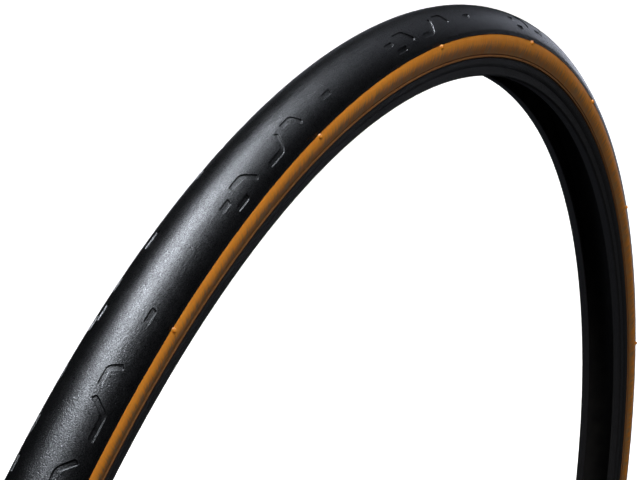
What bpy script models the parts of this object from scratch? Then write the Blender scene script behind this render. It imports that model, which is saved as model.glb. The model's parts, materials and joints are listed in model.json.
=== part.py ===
"""Tubeless-ready folding road tyre, 25-622, in the shape it takes when it is mounted and inflated.

Frame: origin at the wheel's centre, +Y along the wheel's axis (left side of the bicycle),
+X forward, +Z up.
Every layer is its own closed ring, turned about the Y axis from a profile of (radius, y) points
in millimetres: radius from the axle, and y, the distance from the tyre's middle plane.
Most points are placed round the section centre, by an angle from the crown and a section radius.
"""

import math

import bpy

MM = 0.001

# ---- driving dimensions, in millimetres and degrees from the crown ----
OUTER_R = 336.0          # rolling radius over the crown: 672 mm outside diameter
SEAT_R = 310.3           # radius of the bead base, a tight fit on a 622 mm seat
SECTION_R = 13.0         # section radius over the sidewall skins, before they draw in
CROWN_R = 14.3           # section radius at the crown, over the tread
EDGE_R = 13.55           # section radius at the tread's edge
EDGE_DEG = 66.6          # where the tread ends
RIM_LINE_DEG = 107.5     # where the coloured sidewall ends, at the moulded rim line
WAIST_DEPTH = 1.15       # how far the sidewalls draw in towards the rim
WAIST_START_DEG = 72.0   # where they leave the section circle,
WAIST_DEG = 102.0        # and where they stand furthest inside it
RIM_INNER_W = 21.0       # inside width of the rim that the bead faces are spaced for
SEGMENTS = 40            # flats round the wheel
GAP = 0.04               # space left between bonded layers

LINER_T = 0.25
PLY_T = 0.25
BREAKER_T = 0.22
BASE_T = 0.25
SKIN_T = 0.38
CORE_R = 0.80            # radius of the bead core
CHAFER_T = 0.40

BREAKER_DEG = 46.0       # half angles that the crown layers cover
BASE_DEG = 55.0
SKIN_DEG = 56.0          # where the sidewall skin begins, under the tread's wing
FLANK_DEG = 115.0        # a station on the flank between the rim line and the bead
WRAP_DEG = 127.0         # where the outer ply leaves the section circle for the bead's side

# ---- angles at which the layers have profile points ----
CROWN_DEGS = (0, 24, 48)
TREAD_DEGS = (0, 12, 24, 36, 48, 58, EDGE_DEG)
BREAKER_DEGS = (0, 24, BREAKER_DEG)
SIDE_DEGS = (EDGE_DEG, 80, 91, WAIST_DEG)
CARCASS_DEGS = CROWN_DEGS + SIDE_DEGS + (RIM_LINE_DEG, FLANK_DEG, WRAP_DEG)

# ---- section radii of the layers; ply 1 is the inner one, ply 2 the outer ----
CENTRE_R = OUTER_R - CROWN_R     # the section centre's distance from the axle
SKIN_IN = SECTION_R - SKIN_T
PLY2_OUT = SKIN_IN - GAP
PLY2_IN = PLY2_OUT - PLY_T
PLY1_OUT = PLY2_IN - GAP
PLY1_IN = PLY1_OUT - PLY_T
LINER_OUT = PLY1_IN - GAP
LINER_IN = LINER_OUT - LINER_T
BREAKER_OUT = SKIN_IN + BREAKER_T
BASE_IN = BREAKER_OUT + GAP
BASE_OUT = BASE_IN + BASE_T
CAP_IN = BASE_OUT + GAP
CAP_WING_IN = SECTION_R + GAP


# ---- points and lines ----
def waist(degrees):
    """How far the sidewall stands inside the section circle."""
    if degrees <= WAIST_START_DEG or degrees >= WRAP_DEG:
        return 0.0
    if degrees < WAIST_DEG:
        share = (degrees - WAIST_START_DEG) / (WAIST_DEG - WAIST_START_DEG)
    else:
        share = (WRAP_DEG - degrees) / (WRAP_DEG - WAIST_DEG)
    return WAIST_DEPTH * (1 - math.cos(math.pi * share)) / 2


def on_section(degrees, section_radius):
    """A point of the section line: 0 degrees is the crown, 180 the hub side."""
    angle = math.radians(degrees)
    reach = section_radius - waist(degrees)
    return (CENTRE_R + reach * math.cos(angle), reach * math.sin(angle))


def section_line(angles, section_radius):
    return [on_section(degrees, section_radius) for degrees in angles]


def hub_side_radius(section_radius, y):
    """Distance from the axle of the section circle's hub side, at y."""
    return CENTRE_R - math.sqrt(section_radius ** 2 - y ** 2)


def mirrored(half):
    """A line from the crown to one side, carried across to the other: y below zero first."""
    return [(radius, -y) for radius, y in reversed(half[1:])] + half


def band(outer_half, inner_half):
    """A closed profile that spans both sides, between an outer and an inner line."""
    return mirrored(outer_half) + list(reversed(mirrored(inner_half)))


# ---- bead: where each layer stands beside and round the core ----
LEG_OUT = on_section(WRAP_DEG, PLY2_OUT)[1]    # y of the outer ply's straight leg
LEG_IN = on_section(WRAP_DEG, PLY2_IN)[1]
TURN_OUT = LEG_IN - GAP                        # y of the inner ply's turned-up end
TURN_IN = TURN_OUT - PLY_T
CORE_Y = TURN_IN - GAP - CORE_R
CORE_RAD = hub_side_radius(PLY1_OUT + GAP + CORE_R, CORE_Y)
TANGENT_DEG = math.degrees(math.atan2(CORE_Y, CORE_RAD - CENTRE_R))
WRAP_R1 = CORE_R + GAP                         # radii round the core: inside of the inner ply,
WRAP_R2 = WRAP_R1 + PLY_T                      # its outside,
WRAP_R3 = WRAP_R2 + GAP                        # and the inside of the chafer
BEAD_FACE_Y = RIM_INNER_W / 2


def core_line(angles, radius):
    """Points round the bead core: 0 degrees is away from the axle, 90 is outwards along +Y."""
    return [
        (CORE_RAD + radius * math.cos(math.radians(degrees)),
         CORE_Y + radius * math.sin(math.radians(degrees)))
        for degrees in angles
    ]


# ---- tread and breaker ----
BASE_STEP_DEG = 2.0      # how far past the breaker's edge the base has stepped down,
BASE_STEP_GAP = 0.02     # and its height there above the casing side


def tread_radius(degrees):
    """The tread's outside: full at the crown, and easing to the thin wing at its edge."""
    share = math.cos(math.radians(90.0 * degrees / EDGE_DEG)) ** 2
    return EDGE_R + (CROWN_R - EDGE_R) * share


def tread_cap_profile():
    outer = [on_section(degrees, tread_radius(degrees)) for degrees in TREAD_DEGS]
    inner = section_line(CROWN_DEGS, CAP_IN) + section_line((SKIN_DEG, EDGE_DEG), CAP_WING_IN)
    return band(outer, inner)


def tread_base_profile():
    """Covers the breaker, and steps down past its edges."""
    outer = section_line(CROWN_DEGS, BASE_OUT) + [on_section(BASE_DEG, SECTION_R)]
    inner = section_line(BREAKER_DEGS, BASE_IN)
    inner += [
        on_section(BREAKER_DEG + BASE_STEP_DEG, SKIN_IN + BASE_STEP_GAP),
        on_section(BASE_DEG, SKIN_IN),
    ]
    return band(outer, inner)


def breaker_profile():
    return band(section_line(BREAKER_DEGS, BREAKER_OUT), section_line(BREAKER_DEGS, SKIN_IN))


# ---- casing ----
TURN_UP_H = 1.75         # height of the inner ply's turned-up end over the core's centre
LINER_END_SHARE = 0.9    # share of the last flat that the liner covers


def outer_ply_profile():
    """Runs down the flank and ends in a straight leg beside the core."""
    foot = CORE_RAD - WRAP_R2
    outer = section_line(CARCASS_DEGS, PLY2_OUT) + [(foot, LEG_OUT)]
    inner = section_line(CARCASS_DEGS, PLY2_IN) + [(foot, LEG_IN)]
    return band(outer, inner)


def inner_ply_profile():
    """Runs down inside the core, under it, and turns up on its outer side."""
    tangent_on_core = TANGENT_DEG - 180.0
    wrap_degs = (-90, -135, -180, -225, -270)
    top = CORE_RAD + TURN_UP_H
    core_side = section_line(CARCASS_DEGS, PLY1_OUT)
    core_side += core_line((tangent_on_core,) + wrap_degs, WRAP_R1) + [(top, TURN_IN)]
    air_side = section_line(CARCASS_DEGS + (TANGENT_DEG,), PLY1_IN)
    air_side += core_line(wrap_degs, WRAP_R2) + [(top, TURN_OUT)]
    return band(core_side, air_side)


def liner_line(section_radius):
    """Ends a little short of the last angle, on the flat that leads to it."""
    line = section_line(CARCASS_DEGS, section_radius)
    (start_r, start_y), (end_r, end_y) = line[-2:]
    line[-1] = (
        start_r + LINER_END_SHARE * (end_r - start_r),
        start_y + LINER_END_SHARE * (end_y - start_y),
    )
    return line


def liner_profile():
    return band(liner_line(LINER_OUT), liner_line(LINER_IN))


# ---- sidewall ----
RIDGE_H = 0.25           # height of the moulded rim line
RIDGE_START = 4.0        # its flat top, in degrees before the skin's end
RIDGE_END = 2.4
SKIN_END_INSET = 0.05    # how far the skin's end stands inside the sidewall


def sidewall_profile():
    outer = section_line((SKIN_DEG,) + SIDE_DEGS, SECTION_R)
    ridge_degs = (RIM_LINE_DEG - RIDGE_START, RIM_LINE_DEG - RIDGE_END)
    outer += section_line(ridge_degs, SECTION_R + RIDGE_H)
    outer += [on_section(RIM_LINE_DEG, SECTION_R - SKIN_END_INSET)]
    inner = section_line((SKIN_DEG,) + SIDE_DEGS + (RIM_LINE_DEG,), SKIN_IN)
    return outer + list(reversed(inner))


# ---- bead ----
CORE_SIDES = 8

FILLER_LIFT = 0.12       # filler's clearance over the core,
FILLER_SIDE_GAP = 0.06   # beside the turned-up ply,
FILLER_PLY_GAP = 0.10    # and from the inner ply on the section circle

CHAFER_START_DEG = RIM_LINE_DEG + 0.7
CHAFER_TOP_INSET = 0.12  # how far the chafer's top edge stands inside the sidewall,
CHAFER_TOP_GAP = 0.01    # and its clearance there over the casing side
HEEL_H = 0.75            # bevel between the bead's outside face and its base
HEEL_W = 0.65
TOE = (                  # height over the seat, y
    (0.0, 6.75),
    (0.30, 6.40),
    (1.10, 6.62),
)


def core_profile():
    return core_line([360 / CORE_SIDES * k for k in range(CORE_SIDES)], CORE_R)


def filler_profile():
    """The small rubber wedge in the corner above the core."""
    low = CORE_RAD + CORE_R + FILLER_LIFT
    side = TURN_IN - FILLER_SIDE_GAP
    reach = PLY1_OUT + FILLER_PLY_GAP
    foot = math.sqrt(reach ** 2 - (CENTRE_R - low) ** 2)
    return [(low, side), (hub_side_radius(reach, side), side), (low, foot)]


def chafer_profile():
    """Folds round the whole bead: outside face, base, toe, and up the air side."""
    outside = [
        on_section(CHAFER_START_DEG, SECTION_R - CHAFER_TOP_INSET),
        on_section(FLANK_DEG, SECTION_R),
        (hub_side_radius(SECTION_R, BEAD_FACE_Y), BEAD_FACE_Y),
        (SEAT_R + HEEL_H, BEAD_FACE_Y),
        (SEAT_R, BEAD_FACE_Y - HEEL_W),
    ]
    outside += [(SEAT_R + height, y) for height, y in TOE]
    outside += section_line((TANGENT_DEG, WRAP_DEG), LINER_OUT - CHAFER_T)

    inside = section_line((WRAP_DEG, TANGENT_DEG), LINER_OUT)
    inside += core_line((-90, -135, -180), WRAP_R3)
    inside += [(CORE_RAD - WRAP_R3, on_section(WRAP_DEG, SKIN_IN)[1])]
    inside += section_line((WRAP_DEG, FLANK_DEG), SKIN_IN)
    inside += [on_section(CHAFER_START_DEG, SKIN_IN + CHAFER_TOP_GAP)]
    return outside + inside


# ---- building ----
def clear_scene():
    for obj in list(bpy.data.objects):
        bpy.data.objects.remove(obj, do_unlink=True)


def material(name, colour, roughness):
    mat = bpy.data.materials.new(name)
    mat.use_nodes = True
    shader = mat.node_tree.nodes["Principled BSDF"]
    shader.inputs["Base Color"].default_value = (*colour, 1.0)
    shader.inputs["Roughness"].default_value = roughness
    mat.diffuse_color = (*colour, 1.0)
    return mat


def signed_area(profile):
    pairs = zip(profile, profile[1:] + profile[:1])
    return sum(r0 * y1 - r1 * y0 for (r0, y0), (r1, y1) in pairs) / 2


def ring(name, profile, mat, collection, side=1):
    """One closed ring: the profile's outline, turned about Y by a Screw modifier."""
    points = [(radius, side * y) for radius, y in profile]
    # One winding for every outline, so that all the faces point outwards.
    if signed_area(points) > 0:
        points.reverse()
    count = len(points)
    mesh = bpy.data.meshes.new(name)
    mesh.from_pydata(
        [(radius * MM, y * MM, 0.0) for radius, y in points],
        [(k, (k + 1) % count) for k in range(count)],
        [],
    )
    mesh.materials.append(mat)
    obj = bpy.data.objects.new(name, mesh)
    collection.objects.link(obj)
    screw = obj.modifiers.new("turn_about_axle", "SCREW")
    screw.axis = "Y"
    screw.angle = 2 * math.pi
    screw.steps = SEGMENTS
    screw.render_steps = SEGMENTS
    screw.use_merge_vertices = True
    screw.merge_threshold = 0.00001
    screw.use_smooth_shade = True
    screw.use_normal_calculate = False


def main():
    clear_scene()
    tyre = bpy.data.collections.new("bicycle_tire")
    bpy.context.scene.collection.children.link(tyre)

    tread_rubber = material("tread_rubber", colour=(0.018, 0.019, 0.021), roughness=0.55)
    base_rubber = material("base_rubber", colour=(0.03, 0.03, 0.032), roughness=0.75)
    tan_rubber = material("tan_sidewall_rubber", colour=(0.42, 0.19, 0.035), roughness=0.42)
    chafer_cloth = material("chafer_cloth", colour=(0.015, 0.015, 0.016), roughness=0.6)
    butyl = material("liner_rubber", colour=(0.035, 0.034, 0.036), roughness=0.5)
    ply_cloth = material("casing_cloth", colour=(0.50, 0.40, 0.26), roughness=0.8)
    breaker_cloth = material("breaker_cloth", colour=(0.70, 0.60, 0.28), roughness=0.7)
    aramid = material("aramid_cord", colour=(0.72, 0.56, 0.16), roughness=0.6)

    ring("tread_cap", tread_cap_profile(), tread_rubber, tyre)
    ring("tread_base", tread_base_profile(), base_rubber, tyre)
    ring("puncture_breaker", breaker_profile(), breaker_cloth, tyre)
    ring("casing_ply_outer", outer_ply_profile(), ply_cloth, tyre)
    ring("casing_ply_inner", inner_ply_profile(), ply_cloth, tyre)
    ring("air_liner", liner_profile(), butyl, tyre)
    for label, side in (("left", 1), ("right", -1)):
        ring("sidewall_" + label, sidewall_profile(), tan_rubber, tyre, side)
        ring("bead_core_" + label, core_profile(), aramid, tyre, side)
        ring("bead_filler_" + label, filler_profile(), base_rubber, tyre, side)
        ring("chafer_" + label, chafer_profile(), chafer_cloth, tyre, side)


main()
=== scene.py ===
"""Looks for the tan-wall road tyre: fine turned meshes and procedural rubber and cloth.

The axle lies along Y through the origin and the wheel stands in the XZ plane; left is +Y, right is -Y.
Every CAD layer is stood for by a finely turned copy of the same section, so that the ring is round.
The tread carries its shoulder figures as recesses and its vent marks as low lumps, and the
sidewalls carry their vent nibs. Lengths are in millimetres until they reach a mesh.

A section line is a list of (distance from the axle, y). A section angle is measured about the
section's centre, from 0 at the crown of the tread, growing towards +Y.
"""

import json
import math

import bpy
import numpy as np
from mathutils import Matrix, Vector
from mathutils.geometry import delaunay_2d_cdt

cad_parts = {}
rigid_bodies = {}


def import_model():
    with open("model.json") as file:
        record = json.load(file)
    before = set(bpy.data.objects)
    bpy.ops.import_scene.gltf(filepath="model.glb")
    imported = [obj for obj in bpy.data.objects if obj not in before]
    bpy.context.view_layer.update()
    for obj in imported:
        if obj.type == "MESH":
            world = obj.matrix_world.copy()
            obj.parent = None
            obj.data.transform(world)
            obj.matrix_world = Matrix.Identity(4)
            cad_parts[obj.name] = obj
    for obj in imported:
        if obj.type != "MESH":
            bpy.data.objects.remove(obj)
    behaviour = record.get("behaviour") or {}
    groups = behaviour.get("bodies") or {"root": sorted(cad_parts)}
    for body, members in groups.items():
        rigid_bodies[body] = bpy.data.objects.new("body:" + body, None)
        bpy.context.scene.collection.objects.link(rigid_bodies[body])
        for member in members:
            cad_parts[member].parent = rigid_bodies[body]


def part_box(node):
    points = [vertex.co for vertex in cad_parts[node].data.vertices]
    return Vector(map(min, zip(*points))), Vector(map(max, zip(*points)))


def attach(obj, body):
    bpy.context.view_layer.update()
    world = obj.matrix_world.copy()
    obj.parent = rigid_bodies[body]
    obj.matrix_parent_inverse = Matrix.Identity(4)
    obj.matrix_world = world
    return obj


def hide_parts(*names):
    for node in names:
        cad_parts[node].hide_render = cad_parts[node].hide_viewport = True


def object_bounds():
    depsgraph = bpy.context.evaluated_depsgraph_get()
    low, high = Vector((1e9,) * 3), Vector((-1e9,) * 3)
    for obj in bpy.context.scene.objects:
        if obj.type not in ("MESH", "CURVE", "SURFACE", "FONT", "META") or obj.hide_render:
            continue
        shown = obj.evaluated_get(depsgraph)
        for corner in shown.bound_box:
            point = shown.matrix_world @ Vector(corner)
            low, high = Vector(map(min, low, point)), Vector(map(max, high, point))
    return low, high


for leftover in list(bpy.data.objects):
    bpy.data.objects.remove(leftover, do_unlink=True)

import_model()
cad_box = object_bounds()

MM = 0.001

# ---- section, as the CAD has it: _R radius, _T thickness, _DEG section angle ----
OUTER_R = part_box("tread_cap")[1].x / MM
SEAT_R = 310.3
SECTION_R = 13.0
CROWN_R = 14.3
EDGE_R = 13.55
EDGE_DEG = 66.6
RIM_LINE_DEG = 109.3
WAIST = 1.15
WAIST_START = 72.0
WAIST_DEG = 102.0
RIM_INNER_W = 21.0
GAP = 0.04
LINER_T = 0.25
PLY_T = 0.25
BREAKER_T = 0.22
BASE_T = 0.25
SKIN_T = 0.38
CORE_R = 0.80
CHAFER_T = 0.40
BREAKER_DEG = 46.0
BASE_DEG = 55.0
SKIN_DEG = 56.0
WRAP_DEG = 127.0

# the layers, stacked from the skin both ways
CENTRE_R = OUTER_R - CROWN_R
SKIN_IN = SECTION_R - SKIN_T
PLY2_OUT = SKIN_IN - GAP
PLY2_IN = PLY2_OUT - PLY_T
PLY1_OUT = PLY2_IN - GAP
PLY1_IN = PLY1_OUT - PLY_T
LINER_OUT = PLY1_IN - GAP
LINER_IN = LINER_OUT - LINER_T
BREAKER_IN = SKIN_IN
BREAKER_OUT = BREAKER_IN + BREAKER_T
BASE_IN = BREAKER_OUT + GAP
BASE_OUT = BASE_IN + BASE_T
CAP_IN = BASE_OUT + GAP
CAP_WING_IN = SECTION_R + GAP

# the plies' straight legs, and the bead core that the inner ply wraps
LEG_OUT = PLY2_OUT * math.sin(math.radians(WRAP_DEG))
LEG_IN = PLY2_IN * math.sin(math.radians(WRAP_DEG))
TURN_OUT = LEG_IN - GAP
TURN_IN = TURN_OUT - PLY_T
CORE_Y = TURN_IN - GAP - CORE_R
CORE_DIST = PLY1_OUT + GAP + CORE_R
CORE_RAD = CENTRE_R - math.sqrt(CORE_DIST ** 2 - CORE_Y ** 2)
TANGENT_DEG = math.degrees(math.atan2(CORE_Y, CORE_RAD - CENTRE_R))
WRAP_R1 = CORE_R + GAP
WRAP_R2 = WRAP_R1 + PLY_T
WRAP_R3 = WRAP_R2 + GAP
BEAD_FACE_Y = RIM_INNER_W / 2

# ---- tread pattern: one group of figures every 20 degrees ----
PITCHES = 18
PITCH_DEG = 360.0 / PITCHES
PITCH_MM = math.radians(PITCH_DEG) * OUTER_R
GROUP_DEG = 92.1               # where the first figure of a group stands
GROUP_LEAD = 40.0              # mm of each pitch that come before it
ARC_R = 14.1                   # section radius that the figures are laid out on
FIGURE_DEPTH = 0.40
FIGURE_HALF_W = 0.92
FIGURE_CORNER = 0.58
SHEET_DEG = EDGE_DEG - 1.0     # the patterned sheet's edge
FEATHER_DEG = 60.5             # where the tread starts to thin towards its edge
FEATHER_R = SECTION_R + 0.16
CLEARANCE = 0.42               # between a feature's outline and the sheet's grid points

# figures: bend radius, shear, centre line as (mm along the pitch, mm from the crown)
RIGHT_FIGURES = [
    (0.0, 0.30, [(-2.9, 7.85), (2.9, 7.85)]),
    (1.6, 0.0, [(27.2, 5.3), (21.0, 5.3), (18.6, 8.9)]),
    (2.4, 0.0, [(31.0, 5.4), (34.6, 10.7), (43.6, 10.7)]),
    (3.0, 0.0, [(50.8, 10.2), (55.4, 6.0), (62.2, 6.0)]),
    (0.0, 0.30, [(59.4, 11.6), (66.4, 11.6)]),
    (0.0, 0.30, [(66.2, 7.85), (71.8, 7.85)]),
]
LEFT_FIGURES = [
    (0.0, 0.0, [(-31.4, 7.25), (-23.4, 7.25)]),
    (1.6, 0.0, [(-13.0, 10.9), (-6.5, 10.9), (-3.9, 13.2)]),
    (0.0, 0.0, [(-0.4, 7.75), (6.1, 7.75)]),
    (0.0, 0.0, [(2.7, 10.6), (9.2, 10.6)]),
    (0.0, 0.0, [(21.0, 11.4), (27.5, 11.4)]),
    (1.6, 0.0, [(37.0, 13.2), (39.6, 10.9), (46.0, 10.9)]),
    (0.0, 0.0, [(53.4, 9.5), (59.4, 9.5)]),
]
VENT_MARKS = [(3.7, 0.6), (15.1, 0.6), (37.3, -3.1), (-25.0, -0.6)]

# groove outlines from lip to floor: growth in mm, share of the depth, tilt of the normal in degrees
GROOVE_PROFILE = [(0.15, 0.0, 0), (0.02, 0.13, 48), (-0.10, 0.86, 60), (-0.24, 1.0, 6)]
# lump outlines from foot to top: radius and height in mm, tilt in degrees
VENT_PROFILE = [(0.34, 0.0, 0), (0.24, 0.07, 40), (0.14, 0.09, 8)]
NIB_PROFILE = [(1.10, 0.0, 0), (0.92, 0.15, 45), (0.80, 0.62, 75), (0.66, 0.92, 45), (0.36, 1.05, 14)]

# ---- sidewall ----
NIB_COUNT = 21
NIB_DEG = 69.3
NIB_PLACES = [111.7, 94.65, 77.88, 61.25]   # wheel angles of four nibs; the rest are evenly spaced
NIB_LEAD_DEG = 8.5                          # from the start of a repeat to its nib
LEFT_NIB_SHIFT = -4.0
LEFT_NIB_LIFT = 0.60
SIDEWALL_TOP_DEG = 62.0
SKIRT_DEG = 101.3              # where the nibbed sheet ends, above the rim line's ridge
# rim line: section angle, height above the section circle
RIDGE = [
    (101.8, 0.0), (102.3, -0.03), (102.8, -0.11), (103.4, -0.14), (103.9, -0.10),
    (104.5, 0.03), (105.2, 0.17), (105.9, 0.25), (106.7, 0.29), (107.4, 0.26),
    (108.0, 0.18), (108.6, 0.06), (109.0, -0.05), (RIM_LINE_DEG, -0.09),
]


# =====================================================================
# section lines
# =====================================================================
def waist(degrees):
    """How far the sidewall stands inside the section circle: it draws in towards the rim."""
    angle = abs(degrees)
    if angle <= WAIST_START or angle >= WRAP_DEG:
        return 0.0
    if angle < WAIST_DEG:
        share = (angle - WAIST_START) / (WAIST_DEG - WAIST_START)
    else:
        share = (WRAP_DEG - angle) / (WRAP_DEG - WAIST_DEG)
    return WAIST * (1 - math.cos(math.pi * share)) / 2


def on_section(degrees, radius):
    angle = math.radians(degrees)
    drawn_in = radius - waist(degrees)
    return (CENTRE_R + drawn_in * math.cos(angle), drawn_in * math.sin(angle))


def round_core(degrees, radius):
    angle = math.radians(degrees)
    return (CORE_RAD + radius * math.cos(angle), CORE_Y + radius * math.sin(angle))


def tread_radius(degrees):
    share = math.cos(math.radians(90.0 * min(1.0, abs(degrees) / EDGE_DEG)))
    return EDGE_R + (CROWN_R - EDGE_R) * share * share


def feathered_radius(degrees):
    """The tread's outer face, thinned down to the sidewall over its last few degrees."""
    way = min(1.0, max(0.0, (abs(degrees) - FEATHER_DEG) / (EDGE_DEG - FEATHER_DEG)))
    share = way * way * (3 - 2 * way)
    return tread_radius(degrees) * (1 - share) + FEATHER_R * share


def sidewall_radius(degrees):
    return SECTION_R - waist(degrees)


def steps(start, end, pitch):
    count = max(1, int(math.ceil(abs(end - start) / pitch)))
    return [start + (end - start) * k / count for k in range(count + 1)]


def arc(start, end, radius, pitch=3.0):
    return [on_section(degrees, radius) for degrees in steps(start, end, pitch)]


def core_arc(start, end, radius, pitch=15.0):
    return [round_core(degrees, radius) for degrees in steps(start, end, pitch)]


def mirrored(half):
    other = [(r, -y) for r, y in half if abs(y) > 1e-9]
    return list(reversed(other)) + half


def band(outer_half, inner_half):
    return mirrored(outer_half) + list(reversed(mirrored(inner_half)))


def rounded(points, radius, closed=True, turn_deg=24.0, cuts=4):
    """Replaces each sharp corner of a section line with a small fillet."""
    line, count = [], len(points)
    for k, corner in enumerate(points):
        if not closed and k in (0, count - 1):
            line.append(corner)
            continue
        last, following = points[k - 1], points[(k + 1) % count]
        back = (last[0] - corner[0], last[1] - corner[1])
        ahead = (following[0] - corner[0], following[1] - corner[1])
        back_len, ahead_len = math.hypot(*back), math.hypot(*ahead)
        if min(back_len, ahead_len) < 1e-6:
            continue
        cosine = (back[0] * ahead[0] + back[1] * ahead[1]) / (back_len * ahead_len)
        inner = math.acos(max(-1.0, min(1.0, cosine)))
        if math.degrees(math.pi - inner) < turn_deg:
            line.append(corner)
            continue
        reach = min(radius / math.tan(inner / 2), 0.42 * back_len, 0.42 * ahead_len)
        start = [corner[i] + back[i] / back_len * reach for i in (0, 1)]
        end = [corner[i] + ahead[i] / ahead_len * reach for i in (0, 1)]
        for cut in range(cuts + 1):
            t = cut / cuts
            line.append(tuple(
                (1 - t) ** 2 * start[i] + 2 * t * (1 - t) * corner[i] + t * t * end[i]
                for i in (0, 1)))
    return line


def base_section():
    outer = arc(0, BASE_DEG - 7, BASE_OUT) + [on_section(BASE_DEG, SECTION_R)]
    inner = arc(0, BREAKER_DEG, BASE_IN)
    inner += [on_section(BREAKER_DEG + 2, SKIN_IN + 0.02), on_section(BASE_DEG, SKIN_IN)]
    return band(outer, inner)


def breaker_section():
    return band(arc(0, BREAKER_DEG, BREAKER_OUT), arc(0, BREAKER_DEG, BREAKER_IN))


def outer_ply_section():
    foot = CORE_RAD - WRAP_R3 + GAP
    return band(
        arc(0, WRAP_DEG, PLY2_OUT) + [(foot, LEG_OUT)],
        arc(0, WRAP_DEG, PLY2_IN) + [(foot, LEG_IN)],
    )


def inner_ply_section():
    """Runs down inside the casing, round the bead core and back up outside it."""
    top = CORE_RAD + 1.75
    far = arc(0, TANGENT_DEG, PLY1_IN) + core_arc(-90, -270, WRAP_R2) + [(top, TURN_OUT)]
    near = arc(0, WRAP_DEG, PLY1_OUT) + [round_core(TANGENT_DEG - 180.0, WRAP_R1)]
    near += core_arc(-90, -270, WRAP_R1) + [(top, TURN_IN)]
    return band(near, far)


def liner_section():
    end = WRAP_DEG - 1.2
    return band(arc(0, end, LINER_OUT), arc(0, end, LINER_IN))


def core_section():
    return [round_core(18 * k, CORE_R) for k in range(20)]


def filler_section():
    low = CORE_RAD + CORE_R + 0.12
    side = TURN_IN - GAP - 0.02
    reach = PLY1_OUT + 0.10
    top = CENTRE_R - math.sqrt(reach ** 2 - side ** 2)
    foot = math.sqrt(reach ** 2 - (CENTRE_R - low) ** 2)
    return [(low, side), (top, side), (low, foot)]


def chafer_section():
    """The bead's wear strip, with the fine moulded ribs that seal against the rim."""
    outside = [on_section(RIM_LINE_DEG + 0.7, SECTION_R - 0.12)]
    outside += arc(RIM_LINE_DEG + 2.5, 115, SECTION_R - 0.02, 2.0)
    corner = (CENTRE_R - math.sqrt(SECTION_R ** 2 - BEAD_FACE_Y ** 2), BEAD_FACE_Y)
    outside += arc(117, 124.5, SECTION_R, 2.5) + [corner]
    outside += [(SEAT_R + 0.75, BEAD_FACE_Y), (SEAT_R, BEAD_FACE_Y - 0.65)]
    for k in range(3):
        y = BEAD_FACE_Y - 1.25 - 0.85 * k
        outside += [(SEAT_R, y + 0.22), (SEAT_R - 0.09, y), (SEAT_R, y - 0.22)]
    outside += [(SEAT_R, 6.75), (SEAT_R + 0.30, 6.40), (SEAT_R + 1.10, 6.62)]
    outside += arc(TANGENT_DEG, WRAP_DEG, LINER_OUT - CHAFER_T)
    inside_line = arc(WRAP_DEG, TANGENT_DEG, LINER_OUT)
    inside_line += core_arc(-90, -180, WRAP_R3)
    inside_line += [(CORE_RAD - WRAP_R3, SKIN_IN * math.sin(math.radians(WRAP_DEG)))]
    inside_line += arc(WRAP_DEG, RIM_LINE_DEG + 0.7, SKIN_IN)
    return outside + inside_line


# =====================================================================
# mesh building
# =====================================================================
def line_normals(points, closed=True):
    """Unit normals of a section line, each edge weighted by its length."""
    line = np.array(points, float)
    if closed:
        before, after = line - np.roll(line, 1, 0), np.roll(line, -1, 0) - line
    else:
        edges = np.diff(line, axis=0)
        before, after = np.vstack([edges[:1], edges]), np.vstack([edges, edges[-1:]])
    along = before + after
    normals = np.stack([along[:, 1], -along[:, 0]], 1)
    return normals / np.maximum(np.linalg.norm(normals, axis=1, keepdims=True), 1e-12)


def carry(radial, axial, theta):
    """Section vectors carried to the angle theta about the axle, as xyz."""
    parts = np.broadcast_arrays(radial * np.cos(theta), axial, radial * np.sin(theta))
    return np.stack(parts, -1)


def turn(section, normals, thetas):
    """A section's points and normals at each angle, as two flat lists of xyz."""
    return [carry(*np.array(pairs, float).T, thetas[:, None]).reshape(-1, 3)
            for pairs in (section, normals)]


def add_object(name, data):
    obj = bpy.data.objects.new(name, data)
    bpy.context.scene.collection.objects.link(obj)
    return obj


def make_object(name, points, normals, faces):
    """A mesh object from millimetre points, unit normals and faces, turned right side out."""
    tris = np.array([f[:3] for f in faces] + [(f[0], f[2], f[3]) for f in faces if len(f) == 4])
    first, second, third = (points[tris[:, k]] for k in range(3))
    if np.einsum("ij,ij->i", first, np.cross(second, third)).sum() < 0:
        faces = [tuple(reversed(face)) for face in faces]
        tris = tris[:, ::-1]
        first, third = third, first
    # the given normals face the same way as the faces
    face_normals = np.cross(second - first, third - first)
    if np.einsum("ij,ij->i", face_normals, normals[tris[:, 0]]).sum() < 0:
        normals = -normals
    mesh = bpy.data.meshes.new(name)
    mesh.from_pydata([tuple(point) for point in points * MM], [], faces)
    mesh.update()
    mesh.shade_smooth()
    mesh.normals_split_custom_set_from_vertices([tuple(normal) for normal in normals])
    return add_object(name, mesh)


def ring(name, section, segments, corner, side):
    """A closed ring turned from a closed section line."""
    line = rounded([(r, side * y) for r, y in section], corner)
    line = [p for k, p in enumerate(line) if math.dist(p, line[k - 1]) > 1e-5]
    thetas = np.linspace(0, 2 * math.pi, segments, endpoint=False)
    points, normals = turn(line, line_normals(line), thetas)
    count = len(line)
    faces = []
    for i in range(segments):
        here, there = i * count, ((i + 1) % segments) * count
        for j in range(count):
            k = (j + 1) % count
            faces.append((here + j, there + j, there + k, here + k))
    return make_object(name, points, normals, faces)


# ---- features of a patterned sheet: lists of (outline, outward normals, height, tilt) ----
def running_length(line):
    return np.concatenate([[0], np.cumsum(np.linalg.norm(np.diff(line, axis=0), axis=1))])


def smooth_line(points, bend, spacing=0.55):
    """A centre line through the points with its bends rounded, as evenly spaced points."""
    line = np.array(rounded(points, bend, closed=False, turn_deg=5.0, cuts=8), float)
    length = running_length(line)
    count = max(3, int(round(length[-1] / spacing)))
    places = np.linspace(0, length[-1], count + 1)
    return np.stack([np.interp(places, length, line[:, i]) for i in (0, 1)], 1)


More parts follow.
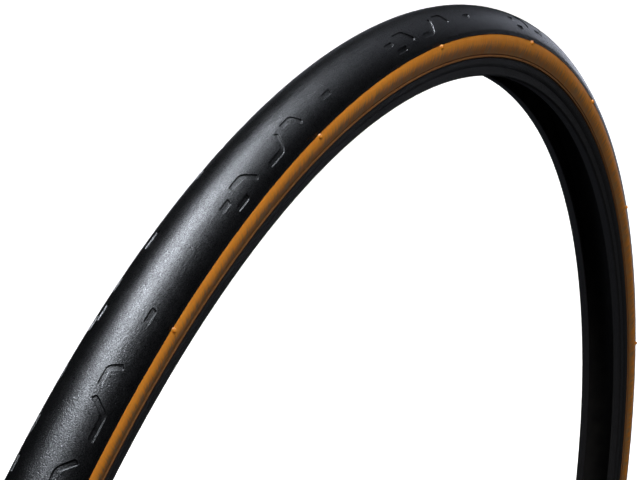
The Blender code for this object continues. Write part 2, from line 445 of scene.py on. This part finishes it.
def stroke(centre, grow):
    """Outline of a groove drawn along a centre line, counter-clockwise, with outward normals."""
    slopes = np.gradient(centre, axis=0)
    tangent = slopes / np.linalg.norm(slopes, axis=1, keepdims=True)
    normal = np.stack([-tangent[:, 1], tangent[:, 0]], 1)
    half = FIGURE_HALF_W + grow
    corner = min(max(0.10, FIGURE_CORNER + grow), half * 0.98)
    length = running_length(centre)
    clear = corner - grow + 0.12
    middle = [k for k in range(len(centre))
              if length[k] > clear and length[-1] - length[k] > clear]
    points, outward = [], []

    def cap(end, ahead, aside):
        for sign, angles in ((-1, (-90, -60, -30, 0)), (1, (0, 30, 60, 90))):
            for degrees in angles:
                cosine, sine = math.cos(math.radians(degrees)), math.sin(math.radians(degrees))
                x = grow - corner + corner * cosine
                y = sign * (half - corner) + corner * sine
                points.append(end + ahead * x + aside * y)
                outward.append(ahead * cosine + aside * sine)

    for k in middle:
        points.append(centre[k] - normal[k] * half)
        outward.append(-normal[k])
    cap(centre[-1], tangent[-1], normal[-1])
    for k in reversed(middle):
        points.append(centre[k] + normal[k] * half)
        outward.append(normal[k])
    cap(centre[0], -tangent[0], -normal[0])
    keep = [k for k in range(len(points)) if np.linalg.norm(points[k] - points[k - 1]) > 0.03]
    return np.array([points[k] for k in keep]), np.array([outward[k] for k in keep])


def groove(points, bend, shear):
    """A recess, from its rounded lip down to its floor."""
    centre = smooth_line(points, bend)
    middle = centre.mean(0)
    outlines = []
    for grow, share, tilt in GROOVE_PROFILE:
        line, outward = stroke(centre, grow)
        line[:, 0] += shear * (line[:, 1] - middle[1])
        outlines.append((line, outward, -FIGURE_DEPTH * share, tilt))
    return outlines


def lump(place, profile, count, lift=1.0):
    """A small round lump, from its foot up."""
    angles = np.arange(count) * 2 * math.pi / count
    outward = np.stack([np.cos(angles), np.sin(angles)], 1)
    return [(np.array(place) + outward * radius, outward, lift * height, -tilt)
            for radius, height, tilt in profile]


def inside(points, polygon):
    x, y = points[:, 0], points[:, 1]
    hit = np.zeros(len(points), bool)
    for k in range(len(polygon)):
        x0, y0 = polygon[k - 1]
        x1, y1 = polygon[k]
        crosses = (y0 > y) != (y1 > y)
        with np.errstate(divide="ignore", invalid="ignore"):
            crossing_x = (x1 - x0) * (y - y0) / (y1 - y0 + 1e-30) + x0
        hit ^= crosses & (x < crossing_x)
    return hit


def near_line(points, polygon, reach):
    hit = np.zeros(len(points), bool)
    for k in range(len(polygon)):
        start = polygon[k - 1]
        edge = polygon[k] - start
        share = np.clip(((points - start) @ edge) / max(edge @ edge, 1e-12), 0, 1)
        hit |= np.linalg.norm(points - (start + share[:, None] * edge), axis=1) < reach
    return hit


# ---- patterned sheets ----
def plane_sheet(length, cells_along, low, high, cells_across, features):
    """One pitch of a sheet, laid flat and cut into triangles round its features.
    Returns the flat points, their heights, tilts and feature normals, and the triangles."""
    rows = np.linspace(0, length, cells_along + 1)
    columns = np.linspace(low, high, cells_across + 1)
    grid = np.array([(u, w) for u in rows for w in columns])
    edge = (grid[:, 0] < 1e-9) | (grid[:, 0] > length - 1e-9)
    edge |= (np.abs(grid[:, 1] - low) < 1e-9) | (np.abs(grid[:, 1] - high) < 1e-9)
    keep = np.ones(len(grid), bool)
    for outlines in features:
        lip = outlines[0][0]
        keep &= edge | ~(inside(grid, lip) | near_line(grid, lip, CLEARANCE))
    total = int(keep.sum())
    points, outward = [grid[keep]], [np.zeros((total, 2))]
    heights, tilts = [np.zeros(total)], [np.zeros(total)]
    links = []
    for outlines in features:
        for line, normals, height, tilt in outlines:
            count = len(line)
            links += [(total + k, total + (k + 1) % count) for k in range(count)]
            points.append(line)
            heights.append(np.full(count, float(height)))
            tilts.append(np.full(count, float(tilt)))
            outward.append(normals)
            total += count
    corners = [Vector(point) for point in np.vstack(points)]
    made, _, tris, origin, _, _ = delaunay_2d_cdt(corners, links, [], 0, 1e-7, True)
    source = np.array([ids[0] if ids else -1 for ids in origin])
    if (source < 0).any():
        raise RuntimeError("two figure outlines cross")
    flat = np.array([tuple(point) for point in made])
    heights, tilts = np.concatenate(heights)[source], np.concatenate(tilts)[source]
    return flat, heights, tilts, np.vstack(outward)[source], np.array(tris)


def sorted_ids(mask, values):
    ids = np.where(mask)[0]
    return ids[np.argsort(values[ids])]


def face_normal(points, face):
    first, second, third = (points[face[k]] for k in range(3))
    return np.cross(second - first, third - first)


def patterned_ring(name, sheet, flat_r, starts, radius_of, rest, side=1):
    """A closed ring whose outer sheet repeats a flat pattern, and whose other faces are turned.
    flat_r is the section radius that the sheet was laid flat from, and starts holds the wheel
    angle in degrees at which each repeat begins; rest is the section line from the sheet's
    far edge back to its near edge."""
    flat, height, tilt, outward, tris = sheet
    length = flat[:, 0].max()
    low, high = flat[:, 1].min(), flat[:, 1].max()
    at_end = np.abs(flat[:, 0] - length) < 1e-6
    start_ids = sorted_ids(np.abs(flat[:, 0]) < 1e-6, flat[:, 1])
    end_ids = sorted_ids(at_end, flat[:, 1])
    # each repeat's last column of points is the next one's first
    repeats = len(starts)
    body = np.where(~at_end)[0]
    local = np.full(len(flat), -1)
    local[body] = np.arange(len(body))
    index = np.empty((repeats, len(flat)), int)
    for k in range(repeats):
        index[k] = k * len(body) + local
        index[k, end_ids] = ((k + 1) % repeats) * len(body) + local[start_ids]

    degrees = np.degrees(flat[:, 1] / flat_r)
    base = np.array([radius_of(d) for d in degrees])
    slope = np.array([(radius_of(d + 0.05) - radius_of(d - 0.05)) / math.radians(0.1)
                      for d in degrees])
    radius = base + height
    phi = np.radians(degrees)
    cosine, sine = np.cos(phi), np.sin(phi)
    tilt = np.radians(tilt)[:, None]
    spans = list(zip(starts, starts[1:] + [starts[0] + 360.0]))
    points, normals, faces = [], [], []
    for k, (start, end) in enumerate(spans):
        theta = np.radians(start + (end - start) * flat[:, 0] / length)
        across = carry(-sine, cosine, theta)
        along = np.stack([-np.sin(theta), np.zeros_like(theta), np.cos(theta)], 1)
        plain = carry(cosine, sine, theta) - across * (slope / base)[:, None]
        plain /= np.linalg.norm(plain, axis=1, keepdims=True)
        lean = along * outward[:, :1] + across * outward[:, 1:]
        points.append(carry(CENTRE_R + radius * cosine, radius * sine, theta)[body])
        normals.append((plain * np.cos(tilt) - lean * np.sin(tilt))[body])
        faces += [tuple(tri) for tri in index[k][tris].tolist()]

    # the turned part
    near = sorted_ids(np.abs(flat[:, 1] - low) < 1e-6, flat[:, 0])
    far = sorted_ids(np.abs(flat[:, 1] - high) < 1e-6, flat[:, 0])
    cells = len(near) - 1
    thetas = np.array([math.radians(start + (end - start) * c / cells)
                       for start, end in spans for c in range(cells)])
    rest_points, rest_normals = turn(rest[1:-1], line_normals(rest, closed=False)[1:-1], thetas)
    segments, count = len(thetas), len(rest) - 2
    offset = repeats * len(body)
    rows = np.empty((segments, count + 2), int)
    rows[:, 0] = index[:, far[:-1]].reshape(-1)
    rows[:, -1] = index[:, near[:-1]].reshape(-1)
    rows[:, 1:-1] = offset + np.arange(segments * count).reshape(segments, count)
    rows = rows.tolist()
    for i in range(segments):
        here, there = rows[i], rows[(i + 1) % segments]
        for j in range(count + 1):
            faces.append((here[j], there[j], there[j + 1], here[j + 1]))

    # the turned normals are made to face the way the sheet's do, by the material's side
    points, normals = np.vstack(points + [rest_points]), np.vstack(normals)
    sheet_way = np.dot(face_normal(points, faces[0]), normals[faces[0][0]])
    votes = 0.0
    for face in faces[-(count + 1):]:
        for corner in face:
            if corner >= offset:
                votes += np.dot(face_normal(points, face), rest_normals[corner - offset])
    if votes * sheet_way < 0:
        rest_normals = -rest_normals
    normals = np.vstack([normals, rest_normals])
    if side < 0:
        points[:, 1] *= -1
        normals[:, 1] *= -1
        faces = [tuple(reversed(face)) for face in faces]
    return make_object(name, points, normals, faces)


# =====================================================================
# node materials
# =====================================================================
def put(tree, socket, value):
    """Links a socket or sets its value; None leaves it alone."""
    if isinstance(value, bpy.types.NodeSocket):
        tree.links.new(value, socket)
    elif value is not None:
        socket.default_value = value


def add_node(tree, kind, inputs=(), output=0, **settings):
    """Adds a node with its inputs, in order or keyed by socket, and returns one output."""
    node = tree.nodes.new("ShaderNode" + kind)
    for setting, value in settings.items():
        setattr(node, setting, value)
    for key, value in inputs.items() if isinstance(inputs, dict) else enumerate(inputs):
        put(tree, node.inputs[key], value)
    return node.outputs[output]


def cleared_tree(owner):
    owner.use_nodes = True
    owner.node_tree.nodes.clear()
    return owner.node_tree


def cord_rate(pitch_mm):
    """Phase in radians per metre of circumference, for a whole number of cords round the wheel."""
    return round(2 * math.pi * OUTER_R / pitch_mm) / (OUTER_R * MM)


class Material:
    """Short calls for building a material's node tree."""

    def __init__(self, name):
        self.made = bpy.data.materials.new(name)
        self.tree = cleared_tree(self.made)
        output = self.tree.nodes.new("ShaderNodeOutputMaterial")
        self.shader = self.tree.nodes.new("ShaderNodeBsdfPrincipled")
        self.tree.links.new(self.shader.outputs[0], output.inputs[0])
        self.place = add_node(self.tree, "TexCoord", output="Object")

    def math(self, operation, first, second=0.0, third=None):
        return add_node(self.tree, "Math", (first, second, third), operation=operation)

    def noise(self, scale, detail=2.0, rough=0.5, at=None):
        inputs = {"Vector": at or self.place, "Scale": scale, "Detail": detail, "Roughness": rough}
        return add_node(self.tree, "TexNoise", inputs, output="Fac")

    def remap(self, value, span, to=(0.0, 1.0)):
        return add_node(self.tree, "MapRange", (value, *span, *to), clamp=True)

    def mix(self, share, base, over):
        """Lays one colour over another by a share."""
        base, over = (c if isinstance(c, bpy.types.NodeSocket) else (*c, 1.0) for c in (base, over))
        return add_node(self.tree, "Mix", {0: share, 6: base, 7: over}, output=2, data_type="RGBA")

    def bump(self, height, distance, strength=1.0, normal=None):
        inputs = {"Strength": strength, "Distance": distance, "Height": height, "Normal": normal}
        return add_node(self.tree, "Bump", inputs)

    def stretched(self, along, across, scales):
        """A flat texture place with its own scale each way."""
        x, y = (self.math("MULTIPLY", *pair) for pair in zip((along, across), scales))
        return add_node(self.tree, "CombineXYZ", (x, y, 0.0))

    def split_place(self):
        node = self.tree.nodes.new("ShaderNodeSeparateXYZ")
        put(self.tree, node.inputs[0], self.place)
        return node.outputs

    def along(self, x, z):
        """Length in metres along the circumference."""
        return self.math("MULTIPLY", self.math("ARCTAN2", z, x), OUTER_R * MM)

    def polar(self):
        """Metres along the circumference and across the section, and the section angle."""
        x, y, z = self.split_place()
        squares = self.math("ADD", self.math("MULTIPLY", x, x), self.math("MULTIPLY", z, z))
        radial = self.math("SUBTRACT", self.math("SQRT", squares), CENTRE_R * MM)
        phi = self.math("ARCTAN2", y, radial)
        return self.along(x, z), self.math("MULTIPLY", phi, SECTION_R * MM), phi

    def weave(self, pitch_mm):
        """Two families of cords that cross at plus and minus 45 degrees, as a height 0 to 1."""
        lengths = self.polar()[:2]
        phases = [self.math("MULTIPLY", length, cord_rate(pitch_mm)) for length in lengths]
        one, two = (self.math("SINE", self.math(kind, *phases)) for kind in ("ADD", "SUBTRACT"))
        return self.math("MULTIPLY_ADD", self.math("MAXIMUM", one, two), 0.5, 0.5)

    def finish(self, **inputs):
        for name, value in inputs.items():
            put(self.tree, self.shader.inputs[name.replace("_", " ")], value)
        return self.made


def tread_material():
    mat = Material("tread_rubber")
    broad = mat.noise(scale=38.0, detail=3.0, rough=0.55)
    patch = mat.noise(scale=210.0, detail=3.0, rough=0.6)
    grain = mat.noise(scale=2500.0, detail=2.5, rough=0.62)
    fine = mat.noise(scale=5200.0, detail=1.0)
    colour = mat.mix(mat.remap(broad, span=(0.35, 0.65)),
                     base=(0.0014, 0.0015, 0.0018), over=(0.0022, 0.0023, 0.0027))
    colour = mat.mix(mat.remap(patch, span=(0.55, 0.80), to=(0.0, 0.5)),
                     colour, over=(0.0040, 0.0041, 0.0045))
    rough = mat.math("ADD", mat.remap(patch, span=(0.30, 0.70), to=(0.30, 0.345)),
                     mat.remap(grain, span=(0.3, 0.7), to=(-0.07, 0.07)))
    normal = mat.bump(grain, distance=0.00014)
    normal = mat.bump(fine, distance=0.00003, strength=0.6, normal=normal)
    normal = mat.bump(broad, distance=0.0004, strength=0.10, normal=normal)
    # the mould's sandblasted grain glints unevenly, with broader scuffed patches
    speck = mat.noise(scale=2600.0, detail=1.5, rough=0.6)
    scuff = mat.noise(scale=520.0, detail=4.0, rough=0.7)
    shine = mat.math("MULTIPLY", mat.remap(speck, span=(0.34, 0.66), to=(0.24, 0.78)),
                     mat.remap(scuff, span=(0.30, 0.70), to=(0.86, 1.14)))
    return mat.finish(Base_Color=colour, Roughness=rough, IOR=1.52, Specular_IOR_Level=shine,
                      Normal=normal)


def tan_material():
    mat = Material("tan_rubber")
    along, across, phi = mat.polar()
    angle = mat.math("ABSOLUTE", phi)

    def past(start_deg, end_deg, to=(0.0, 1.0)):
        """A share that changes between two section angles."""
        return mat.remap(angle, span=(math.radians(start_deg), math.radians(end_deg)), to=to)

    broad = mat.noise(scale=26.0, detail=3.0, rough=0.55)
    patch = mat.noise(scale=160.0, detail=4.0, rough=0.6)
    # fine streaks run along the wheel, as the calendered skin leaves them
    streak = mat.noise(scale=1.0, at=mat.stretched(along, across, scales=(60.0, 1500.0)))
    grain = mat.noise(scale=1500.0, rough=0.55)
    colour = mat.mix(mat.remap(broad, span=(0.3, 0.7)),
                     base=(0.66, 0.235, 0.022), over=(0.74, 0.275, 0.030))
    colour = mat.mix(mat.remap(patch, span=(0.45, 0.80), to=(0.0, 0.45)),
                     colour, over=(0.56, 0.185, 0.016))
    colour = mat.mix(mat.remap(streak, span=(0.50, 0.85), to=(0.0, 0.25)),
                     colour, over=(0.80, 0.33, 0.05))
    # painted shade: the tan is darkened towards the rim line, where shade falls
    colour = mat.mix(past(82, 96, to=(0.0, 0.90)), colour, over=(0.27, 0.112, 0.031))
    # faint crosswise threads show through the thin lower part
    crossing = mat.stretched(along, across, scales=(900.0, 120.0))
    thread = mat.noise(scale=1.0, rough=0.6, at=crossing)
    show = mat.math("MULTIPLY", mat.remap(thread, span=(0.44, 0.62)),
                    past(74, 88, to=(0.12, 0.95)))
    colour = mat.mix(show, colour, over=(0.25, 0.150, 0.070))
    # painted shadow: the groove above the moulded rim line is darkened almost to black; the rim line
    # itself is a darker brown
    colour = mat.mix(past(101.2, 102.4), colour, over=(0.09, 0.038, 0.013))
    colour = mat.mix(past(104.0, 105.0), colour, over=(0.20, 0.086, 0.027))
    normal = mat.bump(grain, distance=0.00003, strength=0.35)
    normal = mat.bump(streak, distance=0.00003, strength=0.25, normal=normal)
    return mat.finish(Base_Color=colour, IOR=1.42, Normal=normal,
                      Roughness=mat.remap(patch, span=(0.3, 0.7), to=(0.46, 0.56)),
                      Subsurface_Weight=0.06, Subsurface_Radius=(0.9, 0.35, 0.08),
                      Subsurface_Scale=0.0006)


def chafer_material():
    mat = Material("chafer_cloth")
    height = mat.weave(pitch_mm=0.62)
    patch = mat.noise(scale=320.0, detail=3.0, rough=0.6)
    colour = mat.mix(mat.remap(height, span=(0.45, 1.0)),
                     base=(0.0060, 0.0060, 0.0065), over=(0.020, 0.020, 0.021))
    colour = mat.mix(mat.remap(patch, span=(0.5, 0.8), to=(0.0, 0.5)),
                     colour, over=(0.018, 0.018, 0.019))
    normal = mat.bump(height, distance=0.00010, strength=0.6)
    normal = mat.bump(mat.noise(scale=3200.0), distance=0.00002, strength=0.4, normal=normal)
    return mat.finish(Base_Color=colour, IOR=1.50, Normal=normal,
                      Roughness=mat.remap(height, span=(0.2, 1.0), to=(0.66, 0.50)))


def liner_material():
    mat = Material("liner_rubber")
    height = mat.weave(pitch_mm=1.05)
    patch = mat.noise(scale=120.0, detail=3.0, rough=0.6)
    colour = mat.mix(mat.remap(patch, span=(0.35, 0.7)),
                     base=(0.016, 0.016, 0.017), over=(0.032, 0.031, 0.030))
    normal = mat.bump(height, distance=0.00006, strength=0.35)
    normal = mat.bump(mat.noise(scale=900.0, detail=3.0), distance=0.00003, strength=0.4,
                      normal=normal)
    return mat.finish(Base_Color=colour, IOR=1.50, Normal=normal,
                      Roughness=mat.remap(patch, span=(0.3, 0.7), to=(0.42, 0.56)))


def cushion_material():
    mat = Material("base_rubber")
    patch = mat.noise(scale=180.0, detail=3.0, rough=0.6)
    colour = mat.mix(mat.remap(patch, span=(0.35, 0.7)),
                     base=(0.010, 0.010, 0.011), over=(0.024, 0.024, 0.025))
    return mat.finish(Base_Color=colour,
                      Roughness=mat.remap(patch, span=(0.3, 0.7), to=(0.66, 0.8)),
                      Normal=mat.bump(mat.noise(scale=2000.0), distance=0.00004, strength=0.5))


def cloth_material(name, dark, light, pitch_mm):
    mat = Material(name)
    height = mat.weave(pitch_mm)
    patch = mat.noise(scale=240.0, detail=3.0, rough=0.6)
    colour = mat.mix(mat.remap(height, span=(0.35, 1.0)), dark, light)
    colour = mat.mix(mat.remap(patch, span=(0.5, 0.85), to=(0.0, 0.35)),
                     colour, over=tuple(0.7 * c for c in light))
    return mat.finish(Base_Color=colour,
                      Roughness=mat.remap(height, span=(0.2, 1.0), to=(0.86, 0.70)),
                      Normal=mat.bump(height, distance=0.00015, strength=0.7))


def strand_material():
    """Bundled fibre that runs round the bead with a slow twist."""
    mat = Material("aramid_cord")
    x, _, z = mat.split_place()
    round_phase = mat.math("MULTIPLY", mat.along(x, z), cord_rate(pitch_mm=1.3))
    _, y, _ = mat.split_place()
    radians_per_metre = 5200.0
    side_phase = mat.math("MULTIPLY", y, radians_per_metre)
    twist = mat.math("SINE", mat.math("ADD", round_phase, side_phase))
    colour = mat.mix(mat.remap(twist, span=(-0.6, 0.9)),
                     base=(0.36, 0.25, 0.05), over=(0.72, 0.55, 0.16))
    return mat.finish(Base_Color=colour,
                      Roughness=mat.remap(twist, span=(-0.8, 0.9), to=(0.66, 0.50)),
                      Normal=mat.bump(twist, distance=0.00012, strength=0.7))


# =====================================================================
# the pieces
# =====================================================================
def tread_features():
    """One pitch of plain rounded elbows, short bars and vent marks."""
    features = []
    for side, figures in ((-1, RIGHT_FIGURES), (1, LEFT_FIGURES)):
        for bend, shear, line in figures:
            points = [(GROUP_LEAD + u, side * w) for u, w in line]
            features.append(groove(points, bend, side * shear))
    for u, w in VENT_MARKS:
        features.append(lump((GROUP_LEAD + u, w), VENT_PROFILE, count=10))
    return features


def build_tread(name):
    half_w = math.radians(SHEET_DEG) * ARC_R
    sheet = plane_sheet(PITCH_MM, 40, -half_w, half_w, 36, tread_features())
    first = GROUP_DEG - GROUP_LEAD / PITCH_MM * PITCH_DEG
    starts = [first + PITCH_DEG * k for k in range(PITCHES)]
    half = [on_section(SHEET_DEG, feathered_radius(SHEET_DEG))]
    half += [on_section(EDGE_DEG, FEATHER_R), on_section(EDGE_DEG, CAP_WING_IN)]
    half += arc(EDGE_DEG - 3, SKIN_DEG + 3, CAP_WING_IN) + [on_section(SKIN_DEG, CAP_WING_IN)]
    half += arc(48, 3, CAP_IN, 4.0)
    line = half + [on_section(0, CAP_IN)] + [(r, -y) for r, y in reversed(half)]
    rest = rounded(line, 0.16, closed=False)
    return patterned_ring(name, sheet, ARC_R, starts, feathered_radius, rest)


def build_sidewall(name, side):
    first, last = NIB_PLACES[0], NIB_PLACES[-1]
    others = NIB_COUNT - len(NIB_PLACES)
    spacing = (360.0 - (first - last)) / (others + 1)
    places = sorted(NIB_PLACES + [last - spacing * k for k in range(1, others + 1)])
    shift, lift = (LEFT_NIB_SHIFT, LEFT_NIB_LIFT) if side > 0 else (0.0, 1.0)
    starts = [place - NIB_LEAD_DEG + shift for place in places]
    repeat_deg = 360.0 / NIB_COUNT
    length = math.radians(repeat_deg) * OUTER_R
    low, high = (math.radians(d) * SECTION_R for d in (SIDEWALL_TOP_DEG, SKIRT_DEG))
    nib_at = (NIB_LEAD_DEG / repeat_deg * length, math.radians(NIB_DEG) * SECTION_R)
    nib = lump(nib_at, NIB_PROFILE, count=14, lift=lift)
    sheet = plane_sheet(length, 34, low, high, 13, [nib])
    line = [on_section(SKIRT_DEG, SECTION_R)]
    line += [on_section(degrees, SECTION_R + height) for degrees, height in RIDGE]
    line += arc(RIM_LINE_DEG, SKIN_DEG, SKIN_IN)
    line += arc(SKIN_DEG, SIDEWALL_TOP_DEG, SECTION_R)
    rest = rounded(line, 0.10, closed=False, turn_deg=60.0)
    return patterned_ring(name, sheet, SECTION_R, starts, sidewall_radius, rest, side)


materials = {
    "tread_rubber": tread_material(),
    "tan_rubber": tan_material(),
    "chafer_cloth": chafer_material(),
    "liner_rubber": liner_material(),
    "base_rubber": cushion_material(),
    "casing_cloth": cloth_material(
        "casing_cloth", dark=(0.20, 0.15, 0.09), light=(0.55, 0.44, 0.29), pitch_mm=0.55),
    "breaker_cloth": cloth_material(
        "breaker_cloth", dark=(0.34, 0.27, 0.08), light=(0.74, 0.63, 0.28), pitch_mm=0.80),
    "aramid_cord": strand_material(),
}


def dress(obj, node, slot):
    obj.data.materials.append(materials[slot])
    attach(obj, "root")
    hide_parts(node)


def add_ring(node, slot, section, segments=360, corner=0.10, side=1):
    dress(ring(node + "_fine", section, segments, corner, side), node, slot)


dress(build_tread("tread_cap_fine"), "tread_cap", "tread_rubber")
add_ring("tread_base", "base_rubber", base_section())
add_ring("puncture_breaker", "breaker_cloth", breaker_section())
add_ring("casing_ply_outer", "casing_cloth", outer_ply_section())
add_ring("casing_ply_inner", "casing_cloth", inner_ply_section(), corner=0.06)
add_ring("air_liner", "liner_rubber", liner_section(), segments=720)
SIDES = (("left", 1), ("right", -1))
for label, side in SIDES:
    dress(build_sidewall("sidewall_%s_fine" % label, side), "sidewall_" + label, "tan_rubber")
    add_ring("bead_core_" + label, "aramid_cord", core_section(), corner=0.01, side=side)
    add_ring("bead_filler_" + label, "base_rubber", filler_section(), corner=0.06, side=side)
    add_ring("chafer_" + label, "chafer_cloth", chafer_section(), 720, corner=0.16, side=side)


# =====================================================================
# stage, light and camera, in metres
# =====================================================================
# soft bright zones that the rubber reflects:
# azimuth from +X to +Y, elevation, inner and outer half angle, radiance
GLOWS = [
    (32.0, -17.0, 5.0, 11.0, 0.62),
    (2.0, -10.0, 2.0, 8.0, 1.0),
    (7.0, -15.5, 2.0, 8.0, 1.1),
    (10.0, -21.5, 2.0, 9.0, 1.5),
    (5.0, -26.0, 4.0, 11.0, 2.2),
    (6.0, -32.0, 3.0, 12.0, 0.50),
    (4.0, -4.0, 3.0, 12.0, 0.20),
    (0.0, 26.0, 8.0, 26.0, 0.26),
    (-27.0, -25.0, 3.0, 14.0, 0.18),
    (140.0, -65.0, 15.0, 50.0, 0.20),
]
GLOW_BASE = 0.004
GLOW_COLOUR = (0.80, 0.85, 1.0, 1)
WHITE = (1.0, 1.0, 1.0, 1)
FLOOR_DROP = 0.0004            # floor below the tyre's lowest point
FLOOR_HALF = 14.0
COOL = (0.86, 0.915, 1.0)
WARM = (1.0, 0.985, 0.965)
LIGHT_CENTRE = (-0.05, 0.0, 0.30)
# round soft lights: name, direction they stand in, half angle in degrees, radiance
REFLECTED_LIGHTS = [
    ("key_centre", (0.215, 0.120, 0.969), 8.6, 78.0),
    ("key_halo", (0.100, 0.020, 0.995), 20.0, 4.0),
    ("key_front", (0.342, -0.197, 0.919), 18.3, 3.2),
]
MATT_LIGHTS = [
    ("wash_overhead", (-0.30, -0.45, 0.86), 15.0, 13.5),
    ("wash_left", (-0.10, 0.50, 0.86), 15.0, 11.0),
]


def glow_level(tree, direction, sign):
    """Adds nodes that turn a direction into the brightness of the surroundings."""
    total = GLOW_BASE
    for azimuth, elevation, near, far, radiance in GLOWS:
        turned, raised = math.radians(azimuth), math.radians(elevation)
        centre = (sign * math.cos(raised) * math.cos(turned),
                  sign * math.cos(raised) * math.sin(turned), sign * math.sin(raised))
        closeness = add_node(tree, "VectorMath", (direction, centre), output="Value",
                             operation="DOT_PRODUCT")
        edges = (math.cos(math.radians(far)), math.cos(math.radians(near)))
        fade = add_node(tree, "MapRange", (closeness, *edges, 0.0, radiance),
                        interpolation_type="SMOOTHSTEP")
        total = add_node(tree, "Math", (fade, total), operation="ADD")
    return total


def output_by_ray(tree, output_kind, seen, reflected, matt):
    """Shows one shader to the camera, one to reflections and one to all other rays."""
    path = tree.nodes.new("ShaderNodeLightPath").outputs
    other = add_node(tree, "MixShader", (path["Is Glossy Ray"], matt, reflected))
    chosen = add_node(tree, "MixShader", (path["Is Camera Ray"], other, seen))
    tree.links.new(chosen, tree.nodes.new("ShaderNode" + output_kind).inputs[0])


def stage_floor(level):
    mesh = bpy.data.meshes.new("studio_floor")
    corners = [(-1, -1), (1, -1), (1, 1), (-1, 1)]
    mesh.from_pydata([(x * FLOOR_HALF, y * FLOOR_HALF, level) for x, y in corners],
                     [], [(0, 1, 2, 3)])
    floor = add_object("studio_floor", mesh)
    mat = bpy.data.materials.new("studio_floor")
    tree = cleared_tree(mat)
    pale = add_node(tree, "BsdfDiffuse", {"Color": (0.80, 0.80, 0.80, 1)})
    shine = add_node(tree, "Emission", {"Color": WHITE, "Strength": 0.95})
    incoming = add_node(tree, "NewGeometry", output="Incoming")
    output_by_ray(
        tree, "OutputMaterial",
        seen=add_node(tree, "AddShader", (pale, shine)),
        reflected=add_node(tree, "Emission", (GLOW_COLOUR, glow_level(tree, incoming, -1))),
        matt=add_node(tree, "BsdfDiffuse", {"Color": (0.022, 0.022, 0.022, 1)}),
    )
    mesh.materials.append(mat)


def studio_world():
    world = bpy.data.worlds.new("studio")
    bpy.context.scene.world = world
    tree = cleared_tree(world)
    direction = add_node(tree, "TexCoord", output="Generated")
    dim = {"Color": (1.0, 0.98, 0.96, 1), "Strength": 0.055}
    output_by_ray(
        tree, "OutputWorld",
        seen=add_node(tree, "Background", {"Color": WHITE}),
        reflected=add_node(tree, "Background", (GLOW_COLOUR, glow_level(tree, direction, 1))),
        matt=add_node(tree, "Background", dim),
    )


def add_aimed(name, data, location, aim):
    """Places a light or camera so that it looks along aim."""
    obj = add_object(name, data)
    obj.location = location
    obj.rotation_mode = "QUATERNION"
    obj.rotation_quaternion = aim.to_track_quat("-Z", "Y")
    return obj


def softbox(name, toward, half_deg, radiance, colour, distance, reflected):
    """A round soft light, kept either to reflections or to matt colour."""
    light = bpy.data.lights.new(name, "AREA")
    light.shape = "DISK"
    radius = distance * math.tan(math.radians(half_deg))
    light.size = 2 * radius
    light.energy = radiance * math.pi * math.pi * radius * radius
    light.color = colour
    direction = Vector(toward).normalized()
    obj = add_aimed(name, light, Vector(LIGHT_CENTRE) + direction * distance, -direction)
    obj.visible_camera = False
    obj.visible_glossy = reflected
    obj.visible_diffuse = not reflected


def low_wash(name, location, target, cone_deg, power):
    """Soft matt light for the lower half of the wheel, which the overhead lights don't reach."""
    light = bpy.data.lights.new(name, "SPOT")
    light.energy = power
    light.spot_size = math.radians(cone_deg)
    light.spot_blend = 0.9
    light.shadow_soft_size = 0.25
    light.color = WARM
    obj = add_aimed(name, light, location, Vector(target) - Vector(location))
    obj.visible_camera = False
    obj.visible_glossy = False


def studio_camera():
    """Stands above the wheel on its -X side and to its right, looking down along the tread."""
    azimuth, elevation = math.radians(-63.05), math.radians(28.25)
    back = Vector((math.sin(azimuth) * math.cos(elevation),
                   -math.cos(azimuth) * math.cos(elevation), math.sin(elevation)))
    data = bpy.data.cameras.new("studio_camera")
    data.sensor_width = 36.0
    data.lens = 124.23
    data.shift_x, data.shift_y = -0.01758, -0.04831
    data.clip_start, data.clip_end = 0.01, 60.0
    location = (-0.59741, -0.30690, 0.64380)
    bpy.context.scene.camera = add_aimed("studio_camera", data, location, -back)


stage_floor(cad_box[0].z - FLOOR_DROP)
studio_world()
for light_row in REFLECTED_LIGHTS:
    softbox(*light_row, colour=COOL, distance=5.0, reflected=True)
for light_row in MATT_LIGHTS:
    softbox(*light_row, colour=WARM, distance=1.5, reflected=False)
for label, side in SIDES:
    low_wash("low_wash_" + label, location=(0.0, 1.50 * side, -0.16), target=(0.0, 0.0, -0.27),
             cone_deg=26.0, power=26.0)
studio_camera()
bpy.context.scene.view_settings.view_transform = "Standard"
bpy.context.scene.view_settings.look = "None"
